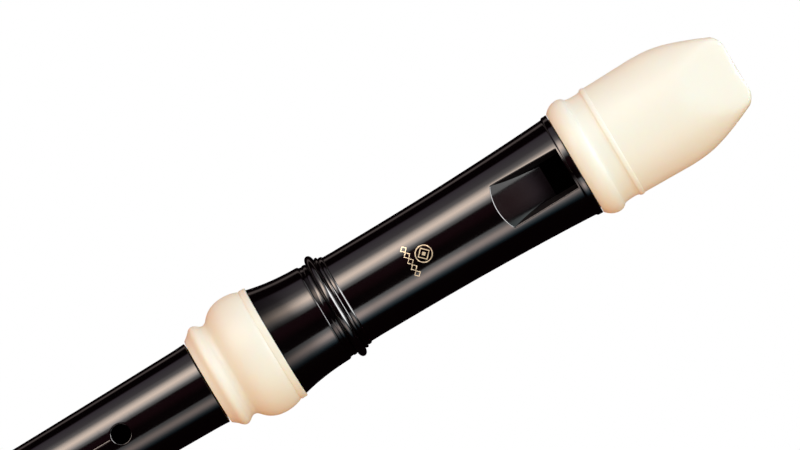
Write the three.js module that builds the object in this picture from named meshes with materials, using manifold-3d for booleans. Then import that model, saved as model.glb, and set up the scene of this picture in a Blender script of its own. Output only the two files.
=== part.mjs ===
// A soprano recorder in three joints, moulded in black and ivory ABS.
//
// The head joint is a black tube with the window and labium, a separate block that forms the
// windway's floor, an ivory beak cap over its top and an ivory socket ring round its lower end.
// The middle joint is a black tube with a tenon at each end, six finger positions in front and a
// thumb hole behind. The foot joint is a black tube with an ivory socket ring.
//
// Millimetres, +Z up. The recorder lies on its back with the window up and the beak towards +X.
// The origin is on the surface that it lies on, halfway along it.
//
// Every piece is drawn in the instrument's own frame first: Y is the station, the distance from
// the tip of the beak towards the bell, X is across, and Z points out of the front. The bore's
// axis is X = Z = 0.

import * as THREE from "three";
import { mergeVertices } from "three/addons/utils/BufferGeometryUtils.js";
import Module from "manifold-3d";

const wasm = await Module();
wasm.setup();

// ---- driving dimensions ----

const LENGTH = 327;
const SIDES = 32; // facets round a turned piece
const GAP = 0.3; // between pieces that touch on the real instrument

// Stations of the ends of the pieces
const NECK_END = 13; // the head tube's neck, inside the beak cap
const CAP_END = 39;
const HEAD_TUBE_END = 121.2; // inside the head's socket ring
const HEAD_RING = { top: 111.55, end: 128 };
const BODY = { top: 128.3, end: 262.6 }; // shoulder to shoulder
const FOOT_RING = { top: 262.9, end: 274.9 };
const FOOT_TUBE_TOP = 269; // inside the foot's socket ring

// Bore, tenons and sockets
const HEAD_BORE_R = 6.6;
const BODY_BORE = { topR: 6.1, endR: 4.65 };
const FOOT_BORE = { topR: 4.6, endR: 4.35 };
const HEAD_TENON = { tip: 109.5, r: 8.1 };
const HEAD_SOCKET = { bottom: 109, r: 8.6 };
const FOOT_TENON = { tip: 273.6, r: 6.4 };
const FOOT_SOCKET = { bottom: 274.1, r: 6.9 };
const RIB = 0.2; // how far a tenon's sealing ribs stand out

// Windway and window: the roof, the floor and the ramp share one shallow arch
const WINDWAY = { halfWidth: 3.7, archR: 17.5, roof: 7.55, floor: 6.45 };
const LABIUM = { station: 45.7, z: 6.95, thickness: 0.33, undercut: 4.5 };
const RAMP_END = { station: 57.9, z: 10.55 };

// Window: its side walls lean inwards from the outside down to the labium
const WINDOW = { top: 40.95, halfWidth: 4.87, leanFrom: 9.7, leanTo: 6.9 };

// Beak
const TIP = { halfWidth: 8, top: 9.8, bottom: 4.2, taperFrom: 17.5 };
const SCOOP_FROM = 27; // where the cut-away underside starts
const CAP_WALL = 1.8;
const NECK_R = 10.6;
const TONGUE = { tip: 1.2, thickness: 1.2 };

// Finger holes: station, radius, and angle from the front in degrees
const BODY_HOLES = [
  { station: 148.9, r: 2.1, angle: 0 },
  { station: 169.5, r: 2.6, angle: 0 },
  { station: 190, r: 2.75, angle: 0 },
  { station: 213.5, r: 2.35, angle: 0 },
  { station: 233.5, r: 2.75, angle: 0 },
  { station: 253.3, r: 1.6, angle: 15 },
  { station: 253.3, r: 1.35, angle: -15 },
  { station: 142.5, r: 2.6, angle: 180 }, // thumb
];
const FOOT_HOLES = [
  { station: 279.6, r: 1.55, angle: 33.75 },
  { station: 279.6, r: 1.25, angle: 3.75 },
];

// The lowest facet of the widest ring touches the surface
const WIDEST_R = 13.8;
const AXIS_HEIGHT = WIDEST_R * Math.cos(Math.PI / SIDES);

const IVORY = new THREE.MeshStandardMaterial({ color: "#f3e6cf", roughness: 0.35 });
const BLACK = new THREE.MeshStandardMaterial({ color: "#120d0e", roughness: 0.15 });

// ---- solids ----

const X = new THREE.Vector3(1, 0, 0);
const Y = new THREE.Vector3(0, 1, 0);
const Z = new THREE.Vector3(0, 0, 1);
const TOWARDS_BEAK = Y.clone().negate();

/** A closed geometry as a manifold solid with its faces pointing out. */
function solid(geometry) {
  const bare = geometry.clone();
  bare.deleteAttribute("normal");
  bare.deleteAttribute("uv");
  const merged = mergeVertices(bare, 1e-4);
  const vertProperties = merged.attributes.position.array;
  const triVerts = new Uint32Array(merged.index.array);
  const made = new wasm.Manifold(new wasm.Mesh({ numProp: 3, vertProperties, triVerts }));
  if (made.volume() > 0) return made;
  triVerts.reverse();
  return new wasm.Manifold(new wasm.Mesh({ numProp: 3, vertProperties, triVerts }));
}

/** A closed (radius, station) outline spun about the bore's axis. */
function turned(draw, curveSteps = 3) {
  const outline = new THREE.Path();
  draw(outline);
  const points = outline.getPoints(curveSteps);
  if (points[0].x > 0) points.push(points[0].clone());
  return solid(new THREE.LatheGeometry(points, SIDES, Math.PI / SIDES));
}

/** An outline drawn in the plane of right and up, and extruded by depth along out, from start. */
function extruded(draw, right, up, out, depth, start = 0, curveSteps = 8) {
  const shape = new THREE.Shape();
  draw(shape);
  const options = { depth, bevelEnabled: false, curveSegments: curveSteps };
  const geometry = new THREE.ExtrudeGeometry(shape, options);
  geometry.applyMatrix4(new THREE.Matrix4().makeBasis(right, up, out));
  geometry.translate(out.x * start, out.y * start, out.z * start);
  return solid(geometry);
}

/** A side view (station, height), extruded right across the instrument. */
function fromSide(draw) {
  const width = 40;
  return extruded(draw, Y, Z, X, width, -width / 2);
}

/** A front view (across, station), extruded from behind to in front. */
function fromFront(draw) {
  const depth = 40;
  return extruded(draw, X, Y, Z, depth, -depth / 2);
}

/** A cross-section (across, height), extruded from one station to another. */
function alongBore(draw, from, to) {
  return extruded(draw, X, Z, TOWARDS_BEAK, to - from, -to);
}

/** A round hole from the bore outwards, at an angle from the front. */
function fingerHole({ station, r, angle }) {
  const reach = 20;
  const drill = new THREE.CylinderGeometry(r, r, reach, 16);
  drill.rotateX(Math.PI / 2);
  drill.translate(0, station, reach / 2);
  drill.rotateY(THREE.MathUtils.degToRad(angle));
  return solid(drill);
}

function cut(body, tools) {
  return tools.reduce((left, tool) => left.subtract(tool), body);
}

/** One named sub-part from a manifold solid. */
function part(name, made, material) {
  const mesh = made.getMesh();
  const geometry = new THREE.BufferGeometry();
  geometry.setAttribute("position", new THREE.BufferAttribute(mesh.vertProperties, 3));
  geometry.setIndex(new THREE.BufferAttribute(mesh.triVerts, 1));
  geometry.computeVertexNormals();
  const node = new THREE.Mesh(geometry, material);
  node.name = name;
  return node;
}

// ---- the windway's arch and the beak's outlines ----

/** A section under the windway's arch, crown at top, walls down to bottom. */
function archSection(top, bottom, halfWidth) {
  const spread = Math.asin(halfWidth / WINDWAY.archR);
  return (s) => {
    s.moveTo(halfWidth, bottom);
    s.lineTo(-halfWidth, bottom);
    s.absarc(0, top - WINDWAY.archR, WINDWAY.archR, Math.PI / 2 + spread, Math.PI / 2 - spread, true);
  };
}

/** The side view of the beak, shrunk by inset from its underside. */
function beakSide(inset) {
  return (s) => {
    s.moveTo(0, TIP.bottom + inset);
    s.bezierCurveTo(7, 2.2 + inset, 16, -3 + inset, SCOOP_FROM, -14 + inset);
    s.lineTo(60, -14 + inset);
    s.lineTo(60, 14);
    s.lineTo(19, 14);
    s.quadraticCurveTo(10, 11.9, 0, TIP.top);
  };
}

/** The front view of the beak: full width, then drawn in to the lips. */
function beakFront(s) {
  const wide = 14;
  const round = 1.2;
  s.moveTo(-wide, 60);
  s.lineTo(-wide, TIP.taperFrom);
  s.quadraticCurveTo(-12, 9.5, -TIP.halfWidth, round);
  s.quadraticCurveTo(-TIP.halfWidth + 0.3, 0, -TIP.halfWidth + 2, 0);
  s.lineTo(TIP.halfWidth - 2, 0);
  s.quadraticCurveTo(TIP.halfWidth - 0.3, 0, TIP.halfWidth, round);
  s.quadraticCurveTo(12, 9.5, wide, TIP.taperFrom);
  s.lineTo(wide, 60);
}

// ---- head joint ----

function beakCap() {
  const blank = turned((p) => {
    p.moveTo(0, 0);
    p.lineTo(12.92, 0);
    p.lineTo(12.92, 16.5);
    p.lineTo(12.65, 29.5);
    p.lineTo(12.84, 29.9);
    p.lineTo(12.8, 30.5);
    p.quadraticCurveTo(12.4, 31, 12.33, 32.2);
    p.quadraticCurveTo(12.3, 33.8, 12.62, 34.3);
    p.bezierCurveTo(13.7, 34.9, 13.8, 37.4, 11.85, CAP_END);
    p.lineTo(0, CAP_END);
  });
  const beak = blank.intersect(fromSide(beakSide(0))).intersect(fromFront(beakFront));
  const socket = turned((p) => {
    p.moveTo(0, NECK_END - GAP);
    p.lineTo(NECK_R + GAP, NECK_END - GAP);
    p.lineTo(NECK_R + GAP, CAP_END + 1);
    p.lineTo(0, CAP_END + 1);
  }).intersect(fromSide(beakSide(CAP_WALL)));
  const tongueRoom = WINDWAY.floor - TONGUE.thickness - GAP;
  const mouth = alongBore(archSection(WINDWAY.roof, tongueRoom, WINDWAY.halfWidth), -1, NECK_END);
  return cut(beak, [socket, mouth]);
}

function block() {
  const top = WINDOW.top - GAP;
  const halfWidth = WINDWAY.halfWidth - GAP;
  const plug = turned((p) => {
    p.moveTo(0, NECK_END);
    p.lineTo(HEAD_BORE_R - GAP, NECK_END);
    p.lineTo(HEAD_BORE_R - GAP, top);
    p.lineTo(0, top);
  });
  const underFloor = alongBore(archSection(WINDWAY.floor, -10, HEAD_BORE_R), NECK_END - 1, top + 1);
  const rail = alongBore(archSection(WINDWAY.floor, 0, halfWidth), NECK_END, top);
  const tongueFoot = WINDWAY.floor - TONGUE.thickness;
  const tongue = alongBore(archSection(WINDWAY.floor, tongueFoot, halfWidth), TONGUE.tip, NECK_END + 1);
  const inCap = fromSide(beakSide(CAP_WALL + GAP));
  return plug.intersect(underFloor).intersect(inCap).add(rail).add(tongue);
}

function headTube() {
  const shell = turned((p) => {
    p.moveTo(HEAD_BORE_R, NECK_END);
    p.lineTo(NECK_R, NECK_END);
    p.lineTo(NECK_R, CAP_END + GAP);
    p.lineTo(11.75, CAP_END + GAP);
    p.lineTo(11.7, 40.4);
    p.lineTo(11.42, 40.7);
    p.quadraticCurveTo(10.75, 51, 10.3, 68);
    p.quadraticCurveTo(10.1, 78, 10.08, 92);
    p.lineTo(10.12, 94.3);
    p.lineTo(10.46, 94.7);
    p.lineTo(10.42, 95.3);
    p.lineTo(10.84, 95.7);
    p.lineTo(10.65, 96.15);
    p.bezierCurveTo(12.5, 96.2, 12.5, 98, 10.65, 98.1);
    p.lineTo(10.8, 98.6);
    p.lineTo(10.72, 99.15);
    p.lineTo(10.93, 99.5);
    p.lineTo(10.78, 99.85);
    p.lineTo(11.06, 100.3);
    p.quadraticCurveTo(11.2, 106.5, 12.42, 111.2);
    p.lineTo(10.7, 111.25);
    p.lineTo(10.7, HEAD_TUBE_END);
    p.lineTo(HEAD_SOCKET.r, HEAD_TUBE_END);
    p.lineTo(HEAD_SOCKET.r, HEAD_SOCKET.bottom);
    p.lineTo(HEAD_BORE_R, HEAD_SOCKET.bottom);
  });
  const { halfWidth, roof } = WINDWAY;
  const windway = alongBore(archSection(roof, 0, halfWidth), NECK_END - 1, WINDOW.top + 1);
  const open = alongBore(windowSection, WINDOW.top, LABIUM.station);
  const undercutTop = LABIUM.z - LABIUM.thickness;
  const undercutEnd = LABIUM.station + LABIUM.undercut;
  const undercut = alongBore(archSection(undercutTop, 0, halfWidth), LABIUM.station - 1, undercutEnd);
  return cut(shell, [windway, open, undercut, aboveRamp()]).intersect(underNeck());
}

/** The window's section: upright near the outside, leaning in to the width of the windway. */
function windowSection(s) {
  const above = 15;
  s.moveTo(-WINDOW.halfWidth, above);
  s.lineTo(-WINDOW.halfWidth, WINDOW.leanFrom);
  s.lineTo(-WINDWAY.halfWidth, WINDOW.leanTo);
  s.lineTo(-WINDWAY.halfWidth, 0);
  s.lineTo(WINDWAY.halfWidth, 0);
  s.lineTo(WINDWAY.halfWidth, WINDOW.leanTo);
  s.lineTo(WINDOW.halfWidth, WINDOW.leanFrom);
  s.lineTo(WINDOW.halfWidth, above);
}

/** What is cut away beyond the labium's edge, down to an arched ramp that climbs to the outside. */
function aboveRamp() {
  const slope = (RAMP_END.z - LABIUM.z) / (RAMP_END.station - LABIUM.station);
  const from = LABIUM.station - GAP;
  const to = RAMP_END.station + 6;
  const under = new THREE.Shape();
  archSection(0, -20, WINDOW.halfWidth + 1)(under);
  const reach = to - from + 1;
  const ramp = new THREE.ExtrudeGeometry(under, { depth: reach, bevelEnabled: false, curveSegments: 8 });
  ramp.applyMatrix4(new THREE.Matrix4().makeBasis(X, Z, TOWARDS_BEAK));
  ramp.translate(0, reach, 0);
  ramp.applyMatrix4(new THREE.Matrix4().set(1, 0, 0, 0, 0, 1, 0, 0, 0, slope, 1, LABIUM.z, 0, 0, 0, 1));
  ramp.translate(0, LABIUM.station, 0);
  return alongBore(windowSection, from, to).subtract(solid(ramp));
}

/** Keeps the head tube's neck inside the beak cap's cut-away underside. */
function underNeck() {
  const far = LENGTH;
  return fromSide((s) => {
    const inset = CAP_WALL + GAP;
    s.moveTo(0, TIP.bottom + inset);
    s.bezierCurveTo(7, 2.2 + inset, 16, -3 + inset, SCOOP_FROM, -14 + inset);
    s.lineTo(CAP_END, -20);
    s.lineTo(far, -20);
    s.lineTo(far, 20);
    s.lineTo(0, 20);
  });
}

/** The ring that closes the head's socket: rim, bulb, cove and bead. */
function headRing() {
  const innerR = 11;
  return turned((p) => {
    p.moveTo(innerR, HEAD_RING.top);
    p.lineTo(13, HEAD_RING.top);
    p.lineTo(13.1, 113.3);
    p.quadraticCurveTo(WIDEST_R, 114.8, WIDEST_R, 115.6);
    p.lineTo(WIDEST_R, 117.4);
    p.bezierCurveTo(WIDEST_R, 119.4, 12.8, 120.8, 11.35, 122);
    p.quadraticCurveTo(10.75, 122.5, 10.72, 123.2);
    p.bezierCurveTo(10.75, 124, 11.75, 124.4, 11.75, 125.35);
    p.bezierCurveTo(11.75, 126.1, 11, 126.5, 10.5, 127.1);
    p.lineTo(9.78, HEAD_RING.end);
    p.lineTo(HEAD_SOCKET.r, HEAD_RING.end);
    p.lineTo(HEAD_SOCKET.r, HEAD_TUBE_END + GAP);
    p.lineTo(innerR, HEAD_TUBE_END + GAP);
  });
}

// ---- middle joint ----

/** A sealing rib round a tenon, centred on a station. */
function rib(p, r, station) {
  p.lineTo(r, station - 0.6);
  p.lineTo(r + RIB, station);
  p.lineTo(r, station + 0.6);
}

function bodyTube() {
  const shell = turned((p) => {
    p.moveTo(BODY_BORE.topR, HEAD_TENON.tip);
    p.lineTo(HEAD_TENON.r, HEAD_TENON.tip);
    rib(p, HEAD_TENON.r, 113);
    rib(p, HEAD_TENON.r, 122);
    p.lineTo(HEAD_TENON.r, BODY.top);
    p.lineTo(9.44, BODY.top);
    p.lineTo(9.25, 132.8);
    p.lineTo(8.75, 163.6);
    p.lineTo(8.4, 200);
    p.lineTo(7.95, BODY.end);
    p.lineTo(FOOT_TENON.r, BODY.end);
    rib(p, FOOT_TENON.r, 268);
    p.lineTo(FOOT_TENON.r, FOOT_TENON.tip);
    p.lineTo(BODY_BORE.endR, FOOT_TENON.tip);
  });
  return cut(shell, BODY_HOLES.map(fingerHole));
}

// ---- foot joint ----

/** The ring that closes the foot's socket: bead, cove, bulb and rim. */
function footRing() {
  const innerR = 9.2;
  return turned((p) => {
    p.moveTo(FOOT_SOCKET.r, FOOT_RING.top);
    p.lineTo(8.35, FOOT_RING.top);
    p.bezierCurveTo(10.4, 264.4, 10.3, 266, 9.05, 266.4);
    p.bezierCurveTo(10.6, 267.9, 11.65, 269, 11.65, 271);
    p.quadraticCurveTo(11.65, 272.6, 11.2, 273.6);
    p.lineTo(11.1, 273.9);
    p.lineTo(10.85, FOOT_RING.end);
    p.lineTo(innerR, FOOT_RING.end);
    p.lineTo(innerR, FOOT_TUBE_TOP - GAP);
    p.lineTo(FOOT_SOCKET.r, FOOT_TUBE_TOP - GAP);
  });
}

function footTube() {
  const plugR = 9.2 - GAP;
  const shell = turned((p) => {
    p.moveTo(FOOT_SOCKET.r, FOOT_TUBE_TOP);
    p.lineTo(plugR, FOOT_TUBE_TOP);
    p.lineTo(plugR, FOOT_RING.end + GAP);
    p.lineTo(10.6, FOOT_RING.end + GAP);
    p.bezierCurveTo(9.6, 279, 8.9, 285, 8.8, 294);
    p.lineTo(8.8, 299);
    p.lineTo(9.25, 299.6);
    p.lineTo(9.2, 300.6);
    p.bezierCurveTo(10.5, 300.9, 10.5, 302.2, 9.2, 302.5);
    p.lineTo(9.35, 303.6);
    p.bezierCurveTo(9.8, 309, 11.9, 311, 12.1, 316);
    p.quadraticCurveTo(12, 318.6, 10.9, 319.6);
    p.bezierCurveTo(12.6, 320.2, 12.9, 324.6, 11.4, LENGTH);
    p.lineTo(FOOT_BORE.endR + 0.6, LENGTH);
    p.lineTo(FOOT_BORE.endR, LENGTH - 1);
    p.lineTo(FOOT_BORE.topR, FOOT_SOCKET.bottom);
    p.lineTo(FOOT_SOCKET.r, FOOT_SOCKET.bottom);
  });
  return cut(shell, FOOT_HOLES.map(fingerHole));
}

// ---- the recorder ----

const recorder = new THREE.Group();
recorder.add(part("beak_cap", beakCap(), IVORY));
recorder.add(part("block", block(), BLACK));
recorder.add(part("head_tube", headTube(), BLACK));
recorder.add(part("head_ring", headRing(), IVORY));
recorder.add(part("body_tube", bodyTube(), BLACK));
recorder.add(part("foot_ring", footRing(), IVORY));
recorder.add(part("foot_tube", footTube(), BLACK));
recorder.rotation.z = Math.PI / 2;
recorder.position.set(LENGTH / 2, 0, AXIS_HEIGHT);

export default recorder;
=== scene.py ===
"""A soprano recorder in black and ivory plastic, seen from the front.

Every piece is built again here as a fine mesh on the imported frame, at the frame's sizes.
Lengths are millimetres in the instrument's own terms until a mesh is made: station is the
distance from the tip of the beak towards the bell, across is to the side, and front is the
height above the bore's axis, on the side of the window and the finger holes.
"""

import math

import bmesh
import bpy
import numpy as np
from mathutils import Matrix, Vector


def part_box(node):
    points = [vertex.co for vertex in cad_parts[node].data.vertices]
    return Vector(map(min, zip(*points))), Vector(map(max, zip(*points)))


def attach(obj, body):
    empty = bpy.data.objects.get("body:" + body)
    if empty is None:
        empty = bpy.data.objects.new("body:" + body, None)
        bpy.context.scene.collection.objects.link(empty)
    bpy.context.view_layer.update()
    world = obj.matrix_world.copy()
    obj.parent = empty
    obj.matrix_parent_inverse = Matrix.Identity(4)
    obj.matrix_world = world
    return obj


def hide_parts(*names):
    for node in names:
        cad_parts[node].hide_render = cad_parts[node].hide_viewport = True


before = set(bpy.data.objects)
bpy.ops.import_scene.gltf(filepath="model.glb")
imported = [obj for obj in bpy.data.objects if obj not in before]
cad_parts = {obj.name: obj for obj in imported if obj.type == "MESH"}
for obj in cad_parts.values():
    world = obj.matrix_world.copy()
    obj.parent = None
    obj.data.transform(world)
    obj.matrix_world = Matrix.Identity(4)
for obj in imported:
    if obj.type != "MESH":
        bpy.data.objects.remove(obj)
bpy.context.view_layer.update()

MM = 0.001
TAU = 2 * math.pi
NUDGE = 1e-5  # moves a station on where an outline steps straight in or out

# ---- the frame's own measures ----

TIP_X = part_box("beak_cap")[1].x
BELL_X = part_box("foot_tube")[0].x
LENGTH = (TIP_X - BELL_X) / MM
BODY_LOW, BODY_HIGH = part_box("body_tube")
AXIS_Z = (BODY_LOW.z + BODY_HIGH.z) / 2


def station_of(x):
    return (TIP_X - x) / MM


CAP_END = station_of(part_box("beak_cap")[0].x)
HEAD_TUBE_END = station_of(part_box("head_tube")[0].x)
HEAD_RING_TOP = station_of(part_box("head_ring")[1].x)
HEAD_RING_END = station_of(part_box("head_ring")[0].x)
BODY_TIP = station_of(BODY_HIGH.x)
BODY_END = station_of(BODY_LOW.x)
FOOT_RING_TOP = station_of(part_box("foot_ring")[1].x)
FOOT_RING_END = station_of(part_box("foot_ring")[0].x)
FOOT_TUBE_TOP = station_of(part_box("foot_tube")[1].x)
BLOCK_TIP = station_of(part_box("block")[1].x)
BLOCK_END = station_of(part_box("block")[0].x)

# ---- driving sizes ----

GAP = 0.3  # between pieces that touch on the real instrument
SEAM = 0.1  # the same, where the seam can be seen
COLUMNS = 192  # round a turned piece
CORNER = 0.16  # rounding of a turned corner

HEAD_BORE_R = 6.6
HEAD_SOCKET_R = 8.6
HEAD_SOCKET_BOTTOM = BODY_TIP - 0.5
BODY_BORE_R = (6.1, 4.65)
FOOT_BORE_R = (4.6, 4.35)
FOOT_SOCKET_R = 6.9
HEAD_TENON_R = 8.1
FOOT_TENON_R = 6.4
RIB = 0.2
HEAD_SEAT_R = 11.0  # inside each socket ring, round its tube
FOOT_SEAT_R = 9.2
SHOULDER = (HEAD_RING_END + GAP, FOOT_RING_TOP - GAP)  # the middle joint's two shoulders

ARCH_R = 17.5  # of the windway's roof and floor and of the ramp
WINDWAY_HALF = 3.7
WINDWAY_ROOF = 7.55
WINDWAY_FLOOR = 6.45
WINDOW_TOP = BLOCK_END + GAP
WINDOW_HALF = (4.76, 5.08)  # at the window's top and at its widest
WINDOW_WIDEST = 57
LABIUM = 45.7
LABIUM_FRONT = 6.95
LABIUM_BACK = 6.62
UNDERCUT_END = LABIUM + 4.5
RAMP_END = 57.9
RAMP_END_FRONT = 10.6
RAMP_SLOPE = (RAMP_END_FRONT - LABIUM_FRONT) / (RAMP_END - LABIUM)

HOLES = [  # station, radius, angle from the front in degrees
    (148.9, 2.1, 0),
    (169.5, 2.6, 0),
    (190.0, 2.75, 0),
    (213.5, 2.35, 0),
    (233.5, 2.75, 0),
    (253.3, 1.6, 15),
    (253.3, 1.35, -15),
    (142.5, 2.6, 180),
]
FOOT_HOLES = [(279.6, 1.55, 33.75), (279.6, 1.25, 3.75)]


# ---- outlines ----


def quadratic(a, b, c, t):
    """The point at t on the curve from a to c with handle b."""
    return (1 - t) ** 2 * a + 2 * t * (1 - t) * b + t * t * c


def bezier_curve(points, steps=60):
    """Points along one Bezier curve."""
    t = np.linspace(0, 1, steps + 1)[:, None]
    level = [np.array(p, float)[None] + 0 * t for p in points]
    while len(level) > 1:
        level = [a * (1 - t) + b * t for a, b in zip(level[:-1], level[1:])]
    return level[0]


class Outline:
    """A turned outline: (station, radius) points, joined by lines and Bezier curves."""

    def __init__(self, station, radius):
        self.points = [(station, radius)]
        self.corners = []

    def line(self, station, radius, soft=True):
        """A straight stretch to a point. A soft point is rounded where the outline turns."""
        if station == self.points[-1][0]:
            station += NUDGE
        if soft:
            self.corners.append(len(self.points))
        self.points.append((station, radius))

    def curve(self, *handles, steps=14):
        """A Bezier curve by one or two handles to the last point given."""
        self.points.extend(bezier_curve([self.points[-1], *handles], steps)[1:])
        return self

    def lines(self, *points):
        for point in points:
            self.line(*point)

    def soften(self):
        """Rounds the point that was drawn last where the outline turns there."""
        self.corners.append(len(self.points) - 1)

    def table(self, size=CORNER, steps=4):
        """The outline with its soft corners rounded, as two arrays."""
        points = np.array(self.points, float)
        out = []
        for i, here in enumerate(points):
            if i not in self.corners or i in (0, len(points) - 1):
                out.append(here)
                continue
            back, ahead = points[i - 1] - here, points[i + 1] - here
            reach = min(size, 0.45 * np.hypot(*back), 0.45 * np.hypot(*ahead))
            start = here + back / np.hypot(*back) * reach
            end = here + ahead / np.hypot(*ahead) * reach
            for t in np.linspace(0, 1, steps + 1):
                out.append(quadratic(start, here, end, t))
        out = np.array(out)
        stations = np.maximum.accumulate(out[:, 0] + 1e-9 * np.arange(len(out)))
        return stations, out[:, 1]


def stepped(top, top_r, step, end_r, end):
    """The outline of a bore that changes its radius at one step."""
    outline = Outline(top, top_r)
    outline.lines((step, top_r), (step, end_r), (end + NUDGE, end_r))
    return outline.table()


# ---- meshes from grids of points ----


def place(station, across, front):
    """Row-frame points, in metres, from the instrument's own millimetres."""
    station, across, front = np.broadcast_arrays(station, across, front)
    x = TIP_X - station * MM
    return np.stack([x, across * MM, AXIS_Z + front * MM], axis=-1)


def polar(station, radius, angle):
    """The same from a radius and an angle in radians, which is 0 at the front."""
    return place(station, radius * np.sin(angle), radius * np.cos(angle))


SHARP_ANGLE = math.radians(45)  # edges that turn by more are shaded as edges
EVEN_WEIGHT = 60  # how far large faces lead the shading
OUTSIDE, INSIDE = 0, 1  # a mesh's material slots: polished, and as the mould leaves it


def add_object(name, data):
    made = bpy.data.objects.new(name, data)
    bpy.context.scene.collection.objects.link(made)
    return made


class Quilt:
    """A mesh made of grids of points. Grids that share an edge are welded along it."""

    def __init__(self):
        self.points = []
        self.faces = []
        self.slots = []
        self.count = 0

    def grid(self, points, wrap=False, slot=OUTSIDE):
        """Quads between neighbouring rows and columns; wrap joins the last column to the first."""
        rows, columns = points.shape[:2]
        index = self.count + np.arange(rows * columns).reshape(rows, columns)
        if wrap:
            index = np.concatenate([index, index[:, :1]], axis=1)
        quads = np.stack([index[:-1, :-1], index[:-1, 1:], index[1:, 1:], index[1:, :-1]], axis=-1)
        self.points.append(points.reshape(-1, 3))
        self.faces.append(quads.reshape(-1, 4))
        self.slots.append(slot)
        self.count += rows * columns

    def between(self, first, last, steps=1, wrap=False, slot=OUTSIDE):
        """A ruled grid from one row of points to another."""
        t = np.linspace(0, 1, steps + 1)[:, None, None]
        self.grid(first[None] * (1 - t) + last[None] * t, wrap, slot)

    def build(self, name, weld=3e-6):
        mesh = bpy.data.meshes.new(name)
        mesh.from_pydata(np.concatenate(self.points), [], np.concatenate(self.faces).tolist())
        slots = [np.full(len(faces), slot) for faces, slot in zip(self.faces, self.slots)]
        mesh.polygons.foreach_set("material_index", np.concatenate(slots))
        work = bmesh.new()
        work.from_mesh(mesh)
        bmesh.ops.remove_doubles(work, verts=work.verts, dist=weld)
        bmesh.ops.dissolve_degenerate(work, edges=work.edges, dist=weld / 3)
        bmesh.ops.recalc_face_normals(work, faces=work.faces)
        work.to_mesh(mesh)
        work.free()
        mesh.shade_smooth()
        mesh.set_sharp_from_angle(angle=SHARP_ANGLE)
        piece = add_object(name, mesh)
        even = piece.modifiers.new("even shading", "WEIGHTED_NORMAL")
        even.weight = EVEN_WEIGHT
        even.keep_sharp = True
        return piece


def bezier(a, b, c, steps):
    """Rows of points along the curves from row a to row c with handles b."""
    return quadratic(a, b, c, np.linspace(0, 1, steps + 1)[:, None, None])


# ---- turned pieces, with finger holes ----

HOLE_EDGE = 0.28  # rounding of a finger hole's rim
HOLE_STEPS = 5
HOLE_REACH = 1.75  # half the length of a hole's block of cells, in the hole's radii
HOLE_CELL = 0.3  # length of the cells there
HOLE_COLUMNS = (8, 14)  # least and most columns from a hole's middle to its block's side
LONGEST_CELL = 3.0


def hole_patch(quilt, outer, inner, stations, hole, rows, columns):
    """Fills the block of cells that a hole takes out of both walls, and lines the hole."""
    station, r, degrees = hole
    middle = math.radians(degrees)
    low, high = rows
    left, right = columns
    angles = np.arange(left, right + 1) * TAU / COLUMNS - middle
    side = stations[low : high + 1]
    edge_station = np.concatenate(
        [np.full(len(angles), side[0]), side[1:], np.full(len(angles) - 1, side[-1]), side[-2::-1]]
    )
    edge_angle = np.concatenate(
        [angles, np.full(len(side) - 1, angles[-1]), angles[-2::-1], np.full(len(side) - 1, angles[0])]
    )

    def on_wall(along, sideways, wall, drop=0.0):
        radius = np.interp(along, *wall)
        height = np.sqrt(radius**2 - sideways**2) - drop
        across = sideways * math.cos(middle) + height * math.sin(middle)
        front = height * math.cos(middle) - sideways * math.sin(middle)
        return place(along, across, front)

    def apron(wall, clear):
        """Rings on one wall from the block's edge in to the hole."""
        radius = np.interp(edge_station, *wall)
        sideways = radius * np.sin(edge_angle)
        along = edge_station - station
        turn = np.arctan2(sideways, along)
        ring_along, ring_side = clear * np.cos(turn), clear * np.sin(turn)
        grid = []
        for t in np.linspace(0, 1, HOLE_STEPS + 1):
            ease = t * (2 - t) * 0.5 + t * 0.5
            here_along = along * (1 - ease) + ring_along * ease
            here_side = sideways * (1 - ease) + ring_side * ease
            grid.append(on_wall(station + here_along, here_side, wall))
        return np.array(grid), turn

    outside, turn = apron(outer, r + HOLE_EDGE)
    quilt.grid(outside)
    along, sideways = r * np.cos(turn), r * np.sin(turn)
    corner = on_wall(station + along, sideways, outer)
    below = on_wall(station + along, sideways, outer, HOLE_EDGE)
    quilt.grid(bezier(outside[-1], corner, below, 5))
    inside, _ = apron(inner, r)
    quilt.grid(inside, slot=INSIDE)
    quilt.between(below, inside[-1], 4, slot=INSIDE)


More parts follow.
